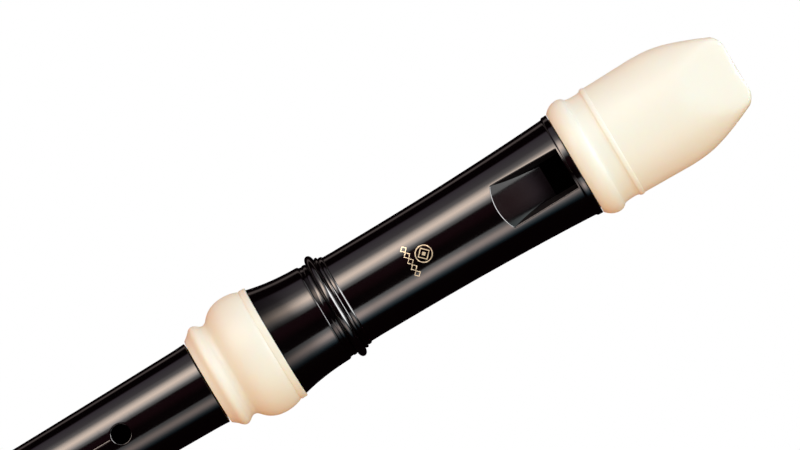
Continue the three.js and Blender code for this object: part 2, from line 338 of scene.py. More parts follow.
def turned(outer, inner, holes=(), inner_slot=INSIDE):
    """A tube between two outlines that run between the same stations, with its holes cut."""
    start, end = outer[0][0], outer[0][-1]
    extra = [np.arange(start + LONGEST_CELL, end, LONGEST_CELL)]
    for station, r, _ in holes:
        reach = HOLE_REACH * r
        extra.append(np.arange(station - reach - 2 * HOLE_CELL, station + reach + 2 * HOLE_CELL, HOLE_CELL))
    stations = np.unique(np.concatenate([outer[0], inner[0], *extra]))
    quilt = Quilt()
    turn = np.arange(COLUMNS) * TAU / COLUMNS
    outside = polar(stations[:, None], np.interp(stations, *outer)[:, None], turn)
    inside = polar(stations[:, None], np.interp(stations, *inner)[:, None], turn)
    blocks = []
    for hole in holes:
        station, r, degrees = hole
        reach = HOLE_REACH * r
        low = np.searchsorted(stations, station - reach) - 1
        high = np.searchsorted(stations, station + reach)
        wide = math.asin(reach * 0.93 / np.interp(station, *outer))
        half = int(np.clip(round(wide / TAU * COLUMNS), *HOLE_COLUMNS))
        centre = round(degrees / 360 * COLUMNS)
        blocks.append(((low, high), (centre - half, centre + half)))
        hole_patch(quilt, outer, inner, stations, hole, *blocks[-1])
    taken = np.zeros((len(stations) - 1, COLUMNS), bool)
    for (low, high), (left, right) in blocks:
        for column in range(left, right):
            taken[low:high, column % COLUMNS] = True
    grid_without(quilt, outside, taken, OUTSIDE)
    grid_without(quilt, inside, taken, inner_slot)
    quilt.between(outside[0], inside[0], 1, wrap=True)
    quilt.between(outside[-1], inside[-1], 1, wrap=True)
    return quilt


def grid_without(quilt, points, taken, slot):
    """The wrapped grid of points, less the cells that are taken."""
    first = len(quilt.faces)
    quilt.grid(points, wrap=True, slot=slot)
    quilt.faces[first] = quilt.faces[first][~taken.reshape(-1)]


# ---- the head tube, with its window ----

ACROSS = 44  # cells across the window
BACK = 156  # cells round the rest
WALL_CELLS = 3  # cells down the wall between the windway's roof and the bore
RIM = 0.14  # rounding of the window's rim
RIM_STEPS = 6
ARC_EDGE = 0.045  # rounding where the ramp meets the outside
ARC_RUN = 0.035  # the fine step from that edge down to the ramp
ARC_DROP = 0.035
HOLLOW = 0.28  # how far the ramp's middle lies below its chord
LEAN_DEPTH = 2  # in which the window's walls do most of their leaning
TURNINGS_TOP = 92  # the plain tube ends here
LEVEL_OUT = 6  # from the ramp's corner to where the rings of cells are level again
NECK_TOP = 23.5
NECK_R = 10.6


def sag(across):
    """How far the windway's arch falls away from its crown."""
    return ARCH_R - np.sqrt(ARCH_R**2 - across**2)


def ramp_front(station, across):
    t = np.clip((station - LABIUM) / (RAMP_END - LABIUM), 0, 1)
    chord = LABIUM_FRONT + RAMP_SLOPE * (station - LABIUM) - ARC_DROP * t
    return chord - 4 * HOLLOW * t * (1 - t) - sag(across)


def head_outline():
    """The head tube's outside, from its neck in the cap to its end in the ring."""
    outline = Outline(NECK_TOP, NECK_R)
    outline.lines((CAP_END + SEAM, NECK_R), (CAP_END + SEAM, 11.77), (40.35, 11.72), (40.62, 11.42))
    outline.curve((51, 10.75), (68, 10.3), steps=30)
    outline.curve((78, 10.1), (92, 10.08), steps=12)
    outline.line(94.3, 10.12)
    outline.curve((94.4, 10.46), (94.95, 10.46), steps=7)
    outline.curve((95.2, 10.46), (95.3, 10.36), steps=4)
    outline.curve((95.36, 10.84), (95.62, 10.84), steps=7)
    outline.curve((95.92, 10.84), (96.12, 10.62), steps=5)
    outline.curve((96.2, 12.46), (98.0, 12.5), (98.08, 10.6), steps=24)
    outline.curve((98.2, 10.8), (98.6, 10.8), steps=5)
    outline.curve((98.95, 10.8), (99.1, 10.64), steps=4)
    outline.curve((99.3, 10.66), (99.72, 10.74), steps=4)
    outline.curve((99.8, 11.06), (100.4, 11.06), steps=7)
    outline.curve((106.5, 11.2), (HEAD_RING_TOP - SEAM, 12.44), steps=14)
    outline.lines((HEAD_RING_TOP - SEAM, HEAD_SEAT_R - GAP), (HEAD_TUBE_END, HEAD_SEAT_R - GAP))
    return outline.table()


HEAD_OUTLINE = head_outline()
SPRING = WINDWAY_ROOF - sag(WINDWAY_HALF)  # where the windway's roof meets its sides
U = np.linspace(-1, 1, ACROSS + 1)  # across the window
SLOT = U * WINDWAY_HALF


def surface_r(station):
    return np.interp(station, *HEAD_OUTLINE)


def window_half(station):
    t = np.clip((station - WINDOW_TOP) / (WINDOW_WIDEST - WINDOW_TOP), 0, 1)
    return WINDOW_HALF[0] + (WINDOW_HALF[1] - WINDOW_HALF[0]) * t


def edge_front(station):
    return np.sqrt(surface_r(station) ** 2 - window_half(station) ** 2)


def wall_half(station, front):
    """Half the window's width at a height: its walls lean in, less and less, to the windway's."""
    depth = np.maximum(edge_front(station) - front, 0)
    full = np.maximum(edge_front(station) - SPRING, 0.1)
    share = (1 - np.exp(-depth / LEAN_DEPTH)) / (1 - np.exp(-full / LEAN_DEPTH))
    lean = (window_half(station) - WINDWAY_HALF) * np.minimum(share, 1)
    return window_half(station) - lean


def crease_front(station):
    """Height of the ramp's edge along the side walls."""
    front = ramp_front(station, window_half(station))
    for _ in range(12):
        front = ramp_front(station, wall_half(station, front))
    return front


def arc_station(across):
    """Where the ramp comes out of the tube."""
    station = np.full_like(across, RAMP_END)
    for _ in range(30):
        short_of = np.sqrt(surface_r(station) ** 2 - across**2) - ramp_front(station, across)
        station = station + (short_of - ARC_DROP) / (1.5 * RAMP_SLOPE)
    return station


def ring(station):
    """Points round the outside: across the window, then round the back.

    The last axis of station has one value for the whole ring, or one for each of its points.
    """
    station = station + np.zeros(ACROSS + BACK)
    front, back = station[..., : ACROSS + 1], station[..., ACROSS + 1 :]
    across = np.arcsin((window_half(front) + RIM) * U / surface_r(front))
    half = np.arcsin((window_half(back) + RIM) / surface_r(back))
    share = np.linspace(0, 1, BACK + 1)[1:-1]
    turn = np.concatenate([across, half + (TAU - 2 * half) * share], axis=-1)
    return polar(station, surface_r(station), turn)


def head_skin(quilt, sides, arc):
    """The outside, with the window left out. Gives the rows beside the window and below it."""
    stations = HEAD_OUTLINE[0]
    corner = sides[-1]
    top_row = WINDOW_TOP - RIM
    above = np.unique(np.append(stations[stations < top_row], top_row))
    quilt.grid(ring(above[:, None]), wrap=True)
    beside = ring(np.array([top_row, *sides[1:-1], corner + ARC_EDGE])[:, None])
    quilt.grid(beside[:, ACROSS:, :])
    quilt.grid(np.stack([beside[:, -1], beside[:, 0]], axis=1))
    level = corner + LEVEL_OUT
    first = np.full(ACROSS + BACK, corner + ARC_EDGE)
    first[: ACROSS + 1] = arc + ARC_EDGE
    bent = np.array([ring(first * (1 - t) + level * t) for t in np.linspace(0, 1, 13) ** 1.3])
    quilt.grid(bent, wrap=True)
    below = np.concatenate([[level], stations[stations > level], np.arange(level, TURNINGS_TOP, 2.5)])
    quilt.grid(ring(np.unique(below)[:, None]), wrap=True)
    return beside, bent[0]


def head_bore(quilt, sides, roof, heights):
    """The windway, the bore, the neck's end and the socket."""
    half_angle = math.asin(WINDWAY_HALF / HEAD_BORE_R)
    round_back = half_angle + (TAU - 2 * half_angle) * np.linspace(0, 1, BACK + 1)
    windway = np.linspace(NECK_TOP, WINDOW_TOP, 5)
    rows = np.concatenate([windway[:-1], sides])
    quilt.grid(polar(rows[:, None], HEAD_BORE_R, round_back), slot=INSIDE)
    quilt.grid(place(windway[:, None], SLOT, roof), slot=INSIDE)
    for sign in (1, -1):
        quilt.grid(place(windway[:, None], sign * WINDWAY_HALF, heights), slot=INSIDE)
    turn = np.concatenate([np.arcsin(SLOT / HEAD_BORE_R), round_back[1:-1]])
    rows = np.linspace(UNDERCUT_END, HEAD_SOCKET_BOTTOM, 20)
    quilt.grid(polar(rows[:, None], HEAD_BORE_R, turn), wrap=True, slot=INSIDE)

    left, right = [place(NECK_TOP, sign * WINDWAY_HALF, heights) for sign in (1, -1)]
    roof_row = place(NECK_TOP, SLOT, roof)
    back_row = polar(NECK_TOP, HEAD_BORE_R, round_back)
    mouth = np.concatenate([roof_row, left[1:-1], back_row, right[-2:0:-1]])
    pad = WALL_CELLS - 1
    columns = np.r_[0 : ACROSS + 1, [ACROSS] * pad, ACROSS : ACROSS + BACK, [0] * (pad + 1)]
    quilt.between(ring(NECK_TOP)[columns], mouth, 1, wrap=True)
    socket_top = polar(HEAD_TUBE_END, HEAD_SOCKET_R, turn)
    socket_end = polar(HEAD_SOCKET_BOTTOM, HEAD_SOCKET_R, turn)
    quilt.between(ring(HEAD_TUBE_END), socket_top, 1, wrap=True)
    quilt.between(socket_top, socket_end, 4, wrap=True, slot=INSIDE)
    quilt.between(socket_end, polar(HEAD_SOCKET_BOTTOM, HEAD_BORE_R, turn), 1, wrap=True)


def head_tube():
    quilt = Quilt()
    corner = RAMP_END - 1.5
    for _ in range(12):
        corner = float(arc_station(np.array([window_half(corner)]))[0])
    corner_half = float(window_half(corner))
    arc = arc_station(U * corner_half)

    # stations of the side walls, from the window's top to the arc's corner
    upper = np.linspace(WINDOW_TOP, LABIUM, 9)
    under = np.linspace(LABIUM, UNDERCUT_END, 9)[1:]
    rest = np.linspace(UNDERCUT_END, corner, 15)[1:]
    near = corner - np.array([0.5, 0.25, 0.12])
    sides = np.unique(np.concatenate([upper, under, rest, near]))
    labium_row = int(np.argmin(abs(sides - LABIUM)))
    undercut_row = int(np.argmin(abs(sides - UNDERCUT_END)))

    beside, arc_row = head_skin(quilt, sides, arc)

    # the rim: from the outside (a) over the corner (b) to the walls (c)
    crease = crease_front(sides)
    edge = edge_front(sides)
    drop = np.minimum(RIM, 0.5 * (edge - crease))
    drop[-1] = ARC_DROP
    wall_top = edge - drop
    wall_stations = sides.copy()
    wall_stations[-1] -= ARC_RUN
    foot_half = corner_half - 0.1
    for sign in (1, -1):
        a = beside[:, ACROSS if sign > 0 else 0]
        b = place(sides, sign * window_half(sides), edge)
        across = wall_half(sides, wall_top)
        across[-1] = foot_half
        c = place(wall_stations, sign * across, wall_top)
        quilt.grid(bezier(a, b, c, RIM_STEPS))
    half_top = float(window_half(WINDOW_TOP))
    a = beside[0, : ACROSS + 1]
    front = np.sqrt(surface_r(WINDOW_TOP) ** 2 - (U * half_top) ** 2)
    b = place(WINDOW_TOP, U * half_top, front)
    top_front = front - RIM
    side_top = wall_half(sides[0], wall_top[0])
    c = place(WINDOW_TOP, U * side_top, top_front)
    c[[0, -1]] = place(WINDOW_TOP, np.array([-1, 1]) * side_top, wall_top[0])
    top_front[[0, -1]] = wall_top[0]
    quilt.grid(bezier(a, b, c, RIM_STEPS))
    a = arc_row[: ACROSS + 1]
    arc_front = np.sqrt(surface_r(arc) ** 2 - (U * corner_half) ** 2)
    b = place(arc, U * corner_half, arc_front)
    foot_line = arc - ARC_RUN
    foot_front = arc_front - ARC_DROP
    foot_line[[0, -1]] = wall_stations[-1]
    foot_front[[0, -1]] = wall_top[-1]
    arc_foot = place(foot_line, U * foot_half, foot_front)
    quilt.grid(bezier(a, b, arc_foot, RIM_STEPS))

    # the end wall above the windway
    v = np.linspace(0, 1, 7)
    roof = WINDWAY_ROOF - sag(SLOT)
    levels = wall_top[0] * (1 - v) + SPRING * v
    halves = wall_half(WINDOW_TOP, levels)
    fronts = top_front * (1 - v[:, None]) + roof * v[:, None]
    quilt.grid(place(WINDOW_TOP, U * halves[:, None], fronts), slot=INSIDE)

    # the side walls, down to the ramp and the bore
    share = np.clip((sides - LABIUM) / (corner - LABIUM), 0, 1)
    step_down = SPRING - crease[labium_row]
    foot = np.where(sides > LABIUM, crease, crease[labium_row])
    middle = np.where(sides > LABIUM, crease + step_down * (1 - share), SPRING)
    middle[-1] = foot[-1] = wall_top[-1]
    back_front = LABIUM_BACK - sag(WINDWAY_HALF)
    bore_front = math.sqrt(HEAD_BORE_R**2 - WINDWAY_HALF**2)
    for sign in (1, -1):
        for front in (wall_top * (1 - v[:, None]) + middle * v[:, None], np.stack([middle, foot])):
            half = wall_half(sides, front)
            half[:, -1] = foot_half
            quilt.grid(place(wall_stations, sign * half, front), slot=INSIDE)
        for last, high, low in ((labium_row, foot[0], back_front), (undercut_row, back_front, bore_front)):
            rows = sides[: last + 1]
            front = np.array([high, low])[:, None]
            quilt.grid(place(rows, sign * WINDWAY_HALF, front), slot=INSIDE)

    # the ramp, the labium's edge and its underside
    rows = wall_stations[labium_row:]
    t = (rows - LABIUM) / (rows[-1] - LABIUM)
    station = LABIUM + (foot_line - LABIUM) * t[:, None]
    across = U * wall_half(sides[labium_row:], crease[labium_row:])[:, None]
    front = ramp_front(station, across)
    ramp = place(station, across, front)
    ramp[-1] = arc_foot
    quilt.grid(ramp)
    back = place(LABIUM, SLOT, LABIUM_BACK - sag(SLOT))
    quilt.between(ramp[0], back, slot=INSIDE)
    rows = sides[labium_row : undercut_row + 1]
    under = LABIUM_BACK - sag(SLOT)
    quilt.grid(place(rows[:, None], SLOT, under), slot=INSIDE)
    bore_top = np.sqrt(HEAD_BORE_R**2 - SLOT**2)
    quilt.between(
        place(UNDERCUT_END, SLOT, under), place(UNDERCUT_END, SLOT, bore_top)
    )

    heights = np.array([SPRING, foot[0], back_front, bore_front])
    head_bore(quilt, sides[: undercut_row + 1], roof, heights)
    return quilt.build("head_tube_shell")


# ---- the beak cap and the block ----

CAP_COLUMNS = 240
TONGUE_UNDER = WINDWAY_FLOOR - 1.2
MOUTH_UNDER = TONGUE_UNDER - GAP
LIP = 1.0  # rounding of the lips' thickness
FLARE = 0.35  # rounding of the windway's mouth
CAVITY_R = NECK_R + GAP
CAVITY_TOP = NECK_TOP - GAP
BEAK_END = 27  # the beak's own faces run out into the round cap here
TAPER_END = 17.5  # its narrowing sides end here
TOPSIDE_END = 21  # and its top here
FAR = 99  # the distance to a face that lies the other way
SQUARENESS = 26  # of the slot's and the tongue's corners

CAP_TURN = np.arange(CAP_COLUMNS) * TAU / CAP_COLUMNS
UX, UZ = np.sin(CAP_TURN), np.cos(CAP_TURN)


def to_circle(radius, rise):
    """Distances, all round, from a point to a circle whose centre is lower by the rise."""
    return -rise * UZ + np.sqrt(radius**2 - (rise * UX) ** 2)


def to_sides(half):
    return half / np.maximum(abs(UX), 1e-6)


def to_top(height):
    return np.where(UZ > 0, height / np.maximum(UZ, 1e-6), FAR)


def to_bottom(depth):
    return np.where(UZ < 0, depth / np.maximum(-UZ, 1e-6), FAR)


def to_arch(centre, crown):
    """Distances to the windway's arch from a point below its crown."""
    return np.where(UZ > 0, to_circle(ARCH_R, centre - (crown - ARCH_R)), FAR)


def section(station, centre, distance):
    """A closed row of points round a centre on the instrument's middle plane."""
    return place(station, distance * UX, centre + distance * UZ)


def soft_least(distances, power):
    """The least of several distances, rounded off where two are close."""
    total = sum(np.maximum(d, 1e-3) ** -power for d in distances)
    return total ** (-1 / power)


def cap_outline():
    outline = Outline(0, 12.86)
    outline.line(16.5, 12.86, soft=False)
    outline.line(29.5, 12.58)
    outline.curve((29.65, 12.78), (30.05, 12.78), steps=5)
    outline.curve((30.5, 12.78), (30.62, 12.58), steps=5)
    outline.curve((30.8, 12.3), (31.6, 12.26), steps=6)
    outline.curve((33.7, 12.2), (34.3, 12.56), steps=8)
    outline.curve((34.9, 13.66), (37.4, 13.75), (CAP_END, 11.8), steps=24)
    return outline.table()


def beak_cap():
    outer = cap_outline()
    taper = bezier_curve([(TAPER_END, 14.1), (9.5, 12.0), (1.0, 8.0)])[::-1]
    underside = bezier_curve([(0, 4.2), (7, 2.2), (16, -3), (BEAK_END, -14)])
    topside = bezier_curve([(0, 9.7), (10, 12.1), (TOPSIDE_END, 13.6)])

    def outer_section(station, inset=0.0):
        radius = np.interp(station, *outer)
        side = np.interp(station, *taper.T) - 1.9 * max(0, 1 - station / 1.6) ** 2
        low = np.interp(station, *underside.T)
        high = np.interp(station, *topside.T)
        blend = np.clip(station / BEAK_END, 0, 1)
        centre = 7.0 * (1 - blend) ** 1.5
        walls = [to_circle(radius, centre)]
        if station < BEAK_END:
            wide = np.where(station < TAPER_END, side, 14 + (station - TAPER_END) * 3)
            high = high + (station / TOPSIDE_END) ** 4 * 6
            walls += [to_sides(wide), to_top(high - centre), to_bottom(centre - low)]
        distance = soft_least(walls, 9 + 22 * blend) - inset * (0.45 + 0.55 * UZ**2)
        return section(station, centre, distance)

    def slot_section(station, grow=0.0):
        centre = (WINDWAY_ROOF + MOUTH_UNDER) / 2
        walls = [to_sides(WINDWAY_HALF + grow), to_arch(centre, WINDWAY_ROOF + grow)]
        walls.append(to_bottom(centre - MOUTH_UNDER + grow))
        return section(station, centre, soft_least(walls, SQUARENESS))

    quilt = Quilt()
    stations = np.unique(np.concatenate([outer[0][outer[0] > 17], np.linspace(LIP, BEAK_END, 60)]))
    rows = [outer_section(s) for s in stations[::-1]]
    turn = np.linspace(0, math.pi / 2, 9)[1:]
    rows += [outer_section(LIP * (1 - math.sin(t)), LIP * (1 - math.cos(t))) for t in turn]
    turn = np.linspace(0, math.pi / 2, 6)
    mouth = [slot_section(FLARE * (1 - math.cos(t)), FLARE * (1 - math.sin(t))) for t in turn]
    steps = np.linspace(0, 1, 6)[1:-1]
    rows += [rows[-1] * (1 - t) + mouth[0] * t for t in steps]
    rows += mouth
    rows += [slot_section(s) for s in np.linspace(FLARE, CAVITY_TOP, 8)[1:]]
    rows.append(section(CAVITY_TOP, 0, CAVITY_R))
    rows.append(section(CAP_END, 0, CAVITY_R))
    rows.append(rows[0])
    quilt.grid(np.array(rows), wrap=True)
    return quilt.build("beak_cap_shell")


def block():
    """The plug under the windway, with the tongue that carries the windway's floor to the tip."""
    half = WINDWAY_HALF - GAP
    plug_r = HEAD_BORE_R - GAP
    middle = (WINDWAY_FLOOR + TONGUE_UNDER) / 2

    def tongue(station, inset=0.0):
        walls = [to_sides(half), to_arch(middle, WINDWAY_FLOOR), to_bottom(middle - TONGUE_UNDER)]
        return section(station, middle, soft_least(walls, SQUARENESS) - inset)

    def plug(station, inset=0.0):
        arch = to_arch(0.0, WINDWAY_FLOOR)
        rail = np.where(UZ > 0, np.minimum(to_sides(half), arch), 0)
        return section(station, 0, np.minimum(np.maximum(plug_r, rail), arch) - inset)

    quilt = Quilt()
    nose = 0.25  # rounding of the tongue's tip
    edge = 0.3  # the bevel of the plug's end
    rows = [section(BLOCK_TIP, middle, 0)]
    for t in np.linspace(0, math.pi / 2, 5):
        rows.append(tongue(BLOCK_TIP + nose * (1 - math.sin(t)), nose * (1 - math.cos(t))))
    rows[1:] = rows[:0:-1]
    rows += [tongue(s) for s in np.linspace(BLOCK_TIP + nose, NECK_TOP, 8)[1:]]
    rows += [plug(s) for s in np.linspace(NECK_TOP, BLOCK_END - edge, 6)]
    rows.append(plug(BLOCK_END, edge))
    rows.append(section(BLOCK_END, 0, 0))
    quilt.grid(np.array(rows), wrap=True)
    return quilt.build("windway_block")


# ---- the rings and the other joints ----


def head_ring():
    top, end = HEAD_RING_TOP, HEAD_RING_END
    outside = Outline(top, HEAD_SEAT_R)
    outside.lines(
        (top, 12.86), (top + 0.12, 12.98), (112.85, 13.02), (113.12, 12.84), (113.4, 13.04),
    )
    outside.curve((114.9, 13.65), (116.7, 13.65), steps=14)
    outside.curve((119.3, 13.65), (120.8, 12.7), (122.0, 11.3), steps=18)
    outside.curve((122.5, 10.7), (123.15, 10.68), steps=7)
    outside.curve((123.9, 10.66), (124.35, 11.7), (125.35, 11.7), steps=14)
    outside.curve((126.1, 11.7), (126.5, 10.95), (127.1, 10.45), steps=12)
    outside.curve((127.6, 10.05), (end - 0.12, 9.86), steps=5)
    outside.lines((end, 9.74), (end, HEAD_SOCKET_R))
    inside = stepped(top, HEAD_SEAT_R, HEAD_TUBE_END + GAP, HEAD_SOCKET_R, end)
    return turned(outside.table(), inside, inner_slot=OUTSIDE).build("head_socket_ring")


def foot_ring():
    top, end = FOOT_RING_TOP, FOOT_RING_END
    outside = Outline(top, FOOT_SOCKET_R)
    outside.lines((top, 8.3), (263.3, 8.5))
    outside.curve((263.8, 10.2), (265.7, 10.0), (266.35, 9.1), steps=18)
    outside.curve((266.8, 9.05), (267.2, 9.45), steps=6)
    outside.curve((268.3, 10.9), (269.5, 11.65), (271.1, 11.65), steps=18)
    outside.curve((272.6, 11.65), (273.55, 11.16), steps=10)
    outside.lines(
        (273.68, 11.0), (273.84, 11.14), (end - 0.15, 11.0), (end, 10.85), (end, FOOT_SEAT_R),
    )
    inside = stepped(top, FOOT_SOCKET_R, FOOT_TUBE_TOP - GAP, FOOT_SEAT_R, end)
    return turned(outside.table(), inside, inner_slot=OUTSIDE).build("foot_socket_ring")


def rib(outline, radius, station):
    """A rounded sealing rib round a tenon."""
    outline.line(station - 0.7, radius, soft=False)
    high = radius + 2 * RIB
    outline.curve((station - 0.3, high), (station + 0.3, high), (station + 0.7, radius))


def body_tube():
    outside = Outline(BODY_TIP, BODY_BORE_R[0])
    outside.lines((BODY_TIP, HEAD_TENON_R - 0.3), (BODY_TIP + 0.4, HEAD_TENON_R))
    rib(outside, HEAD_TENON_R, 113)
    rib(outside, HEAD_TENON_R, 122)
    outside.lines((SHOULDER[0], HEAD_TENON_R), (SHOULDER[0], 9.44))
    outside.curve((130.2, 9.28), (133, 9.25), steps=8)
    outside.curve((148, 9.0), (163.6, 8.8), steps=10)
    outside.line(200, 8.4, soft=False)
    outside.lines((SHOULDER[1], 7.95), (SHOULDER[1], FOOT_TENON_R))
    rib(outside, FOOT_TENON_R, 268)
    outside.lines(
        (BODY_END - 0.4, FOOT_TENON_R), (BODY_END, FOOT_TENON_R - 0.3), (BODY_END, BODY_BORE_R[1]),
    )
    stations = [BODY_TIP, BODY_END + NUDGE]
    inside = (np.array(stations), np.array(BODY_BORE_R))
    outer = outside.table()
    quilt = turned(outer, inside, HOLES)
    mould_line(quilt, outer, HOLES[0], HOLES[1])
    return quilt.build("middle_joint_tube")


def mould_line(quilt, outer, first, second):
    """The fine ridge that the mould leaves along the front between two finger holes."""
    gap = 0.25
    start = first[0] + first[1] + HOLE_EDGE + gap
    end = second[0] - second[1] - HOLE_EDGE - gap
    stations = np.linspace(start, end, 30)
    radius = np.interp(stations, *outer)[:, None]
    across = np.array([-0.16, -0.06, 0.0, 0.06, 0.16, 0.0])
    height = np.array([-0.02, 0.03, 0.045, 0.03, -0.02, -0.08])
    rows = place(stations[:, None], across, radius + height)
    quilt.grid(rows, wrap=True)
    for end_row in (rows[0], rows[-1]):
        quilt.grid(np.stack([end_row[:3], end_row[[5, 4, 3]]]))


def foot_tube():
    plug_r = FOOT_SEAT_R - GAP
    outside = Outline(FOOT_TUBE_TOP, FOOT_SOCKET_R)
    outside.lines(
        (FOOT_TUBE_TOP, plug_r), (FOOT_RING_END + SEAM, plug_r), (FOOT_RING_END + SEAM, 10.6),
    )
    outside.curve((279, 9.6), (285, 8.95), (294, 8.8), steps=24)
    outside.line(298.9, 8.8)
    outside.curve((299.1, 9.3), (299.7, 9.28), steps=6)
    outside.line(300.0, 9.1)
    outside.curve((300.1, 10.6), (301.9, 10.6), (302.0, 9.1), steps=18).soften()
    outside.line(302.6, 9.12)
    outside.curve((302.8, 9.4), (303.4, 9.35), steps=6)
    outside.curve((309, 9.7), (311.5, 12.1), (316, 12.15), steps=20)
    outside.curve((318.4, 12.05), (319.4, 10.95), steps=10)
    outside.curve((320.2, 12.3), (323.6, 12.9), (326.4, 11.7), steps=18)
    outside.lines((LENGTH, 11.3), (LENGTH, FOOT_BORE_R[1]))
    bottom = BODY_END + 0.5
    mouth = 0.9
    inside = Outline(FOOT_TUBE_TOP, FOOT_SOCKET_R)
    inside.lines((bottom, FOOT_SOCKET_R), (bottom, FOOT_BORE_R[0]), (LENGTH - 1.6, FOOT_BORE_R[1]))
    inside.curve((LENGTH - 0.4, FOOT_BORE_R[1] + 0.1), (LENGTH, FOOT_BORE_R[1] + mouth), steps=8)
    inside.line(LENGTH + NUDGE, FOOT_BORE_R[1] + mouth)
    return turned(outside.table(), inside.table(), FOOT_HOLES).build("foot_joint_tube")


# ---- the gold stamp ----

STAMP_STATION = 75.6
ROW_STATION = 78.8
TURN_R = 10.1  # of the tube there, to turn a width into an angle
FOIL = 0.03  # how far the foil stands out of the tube, and reaches into it


def stamp():
    """A ring round two lozenges, with a row of small ones below it, in foil that follows the tube."""
    quilt = Quilt()

    def foil(corners, cells=6):
        """One four-cornered patch of foil: (station, across) corners in order."""
        a, b, c, d = [np.array(p, float) for p in corners]
        s = np.linspace(0, 1, cells + 1)[:, None, None]
        t = np.linspace(0, 1, cells + 1)[None, :, None]
        flat = (a * (1 - s) + b * s) * (1 - t) + (d * (1 - s) + c * s) * t
        station, turn = flat[..., 0], flat[..., 1] / TURN_R
        top, bottom = [polar(station, surface_r(station) + height, turn) for height in (FOIL, -FOIL)]
        quilt.grid(top)
        quilt.grid(bottom)
        for edge in (np.s_[0, :], np.s_[-1, :], np.s_[:, 0], np.s_[:, -1]):
            quilt.between(top[edge], bottom[edge])

    def lozenge(station, across, half, line=None):
        tips = np.array([(-half, 0), (0, half), (half, 0), (0, -half)])
        middle = np.array([station, across])
        if line is None:
            foil(middle + tips)
            return
        inner = tips * (1 - line / half)
        for i in range(4):
            j = (i + 1) % 4
            foil([middle + tips[i], middle + tips[j], middle + inner[j], middle + inner[i]])

    def hoop(station, across, r, line, cells=32):
        """A ring of foil, as a run of short patches."""
        turn = np.linspace(0, TAU, cells + 1)
        for start, stop in zip(turn[:-1], turn[1:]):
            corners = []
            for reach, angle in ((r, start), (r, stop), (r - line, stop), (r - line, start)):
                corners.append((station + reach * math.cos(angle), across + reach * math.sin(angle)))
            foil(corners, cells=2)

    hoop(STAMP_STATION, 0.0, 1.9, 0.22)
    lozenge(STAMP_STATION, 0.0, 1.45, line=0.28)
    lozenge(STAMP_STATION, 0.0, 0.5)
    for i in range(-2, 3):
        lozenge(ROW_STATION, i * 1.45, 0.8, line=0.26)
    return quilt.build("gold_stamp_foil", weld=1e-7)


# ---- materials ----


class Paint:
    """A Principled material whose colour, polish and relief follow noise in object space."""

    def __init__(self, name):
        self.material = bpy.data.materials.new(name)
        self.material.use_nodes = True
        self.nodes = self.material.node_tree.nodes
        self.links = self.material.node_tree.links
        self.surface = self.nodes["Principled BSDF"]

    def set(self, socket, value):
        self.surface.inputs[socket].default_value = value

    def node(self, kind, numbers):
        made = self.nodes.new(kind)
        for socket, value in numbers.items():
            made.inputs[socket].default_value = value
        return made

    def noise(self, scale, detail, along=1):
        """Noise in features per metre. A small number along draws it out down the recorder."""
        coordinates = self.nodes.new("ShaderNodeTexCoord")
        mapping = self.node("ShaderNodeMapping", {"Scale": (along, 1, 1)})
        texture = self.node("ShaderNodeTexNoise", {"Scale": scale, "Detail": detail})
        self.links.new(coordinates.outputs["Object"], mapping.inputs["Vector"])
        self.links.new(mapping.outputs["Vector"], texture.inputs["Vector"])
        return texture.outputs["Fac"]

    def colour(self, value, first, second):
        mixed = self.nodes.new("ShaderNodeMix")
        mixed.data_type = "RGBA"
        mixed.inputs["A"].default_value = (*first, 1)
        mixed.inputs["B"].default_value = (*second, 1)
        self.links.new(value, mixed.inputs["Factor"])
        self.links.new(mixed.outputs["Result"], self.surface.inputs["Base Color"])

    def roughness(self, value, low, high):
        numbers = {"From Min": 0.3, "From Max": 0.7, "To Min": low, "To Max": high}
        mapped = self.node("ShaderNodeMapRange", numbers)
        self.links.new(value, mapped.inputs["Value"])
        self.links.new(mapped.outputs["Result"], self.surface.inputs["Roughness"])

    def bumps(self, *heights):
        """Bumps one on another: each is (height value, depth in metres)."""
        last = None
        for value, depth in heights:
            made = self.node("ShaderNodeBump", {"Strength": 1.0, "Distance": depth})
            self.links.new(value, made.inputs["Height"])
            if last is not None:
                self.links.new(last, made.inputs["Normal"])
            last = made.outputs["Normal"]
        self.links.new(last, self.surface.inputs["Normal"])


def black_plastic():
    """Polished brown-black ABS with a trace of moulding ripple and fine handling marks."""
    paint = Paint("black_plastic")
    paint.set("IOR", 1.52)
    paint.colour(paint.noise(45, 2.0), (0.0009, 0.0002, 0.0003), (0.0015, 0.0003, 0.0006))
    paint.roughness(paint.noise(160, 4.0, 0.35), 0.075, 0.125)
    ripple = paint.noise(120, 1.0, 0.25)
    marks = paint.noise(1800, 2.0, 0.05)
    paint.bumps((ripple, 0.00001), (marks, 0.000002))
    return paint.material


def black_inside():
    """The same plastic inside the windway, the bore and the sockets, dull and fine-grained."""
    paint = Paint("black_inside")
    paint.set("Specular IOR Level", 0.08)
    grain = paint.noise(1500, 3.0, 0.3)
    paint.colour(grain, (0.0012, 0.0004, 0.0006), (0.0022, 0.0008, 0.0011))
    paint.roughness(grain, 0.45, 0.65)
    paint.bumps((grain, 0.00001))
    return paint.material


def ivory_plastic(name, pale, deep):
    """Ivory ABS: a little light passes into it, and its polish is softer than the black's."""
    paint = Paint(name)
    paint.set("IOR", 1.5)
    paint.set("Specular IOR Level", 0.12)
    paint.set("Subsurface Weight", 0.4)
    paint.set("Subsurface Radius", (1.0, 0.6, 0.35))
    paint.set("Subsurface Scale", 0.0015)
    paint.colour(paint.noise(60, 3.0, 0.4), deep, pale)
    paint.roughness(paint.noise(220, 3.0), 0.36, 0.48)
    ripple = paint.noise(150, 1.0, 0.3)
    grain = paint.noise(2600, 2.0)
    paint.bumps((ripple, 0.00001), (grain, 0.000003))
    return paint.material


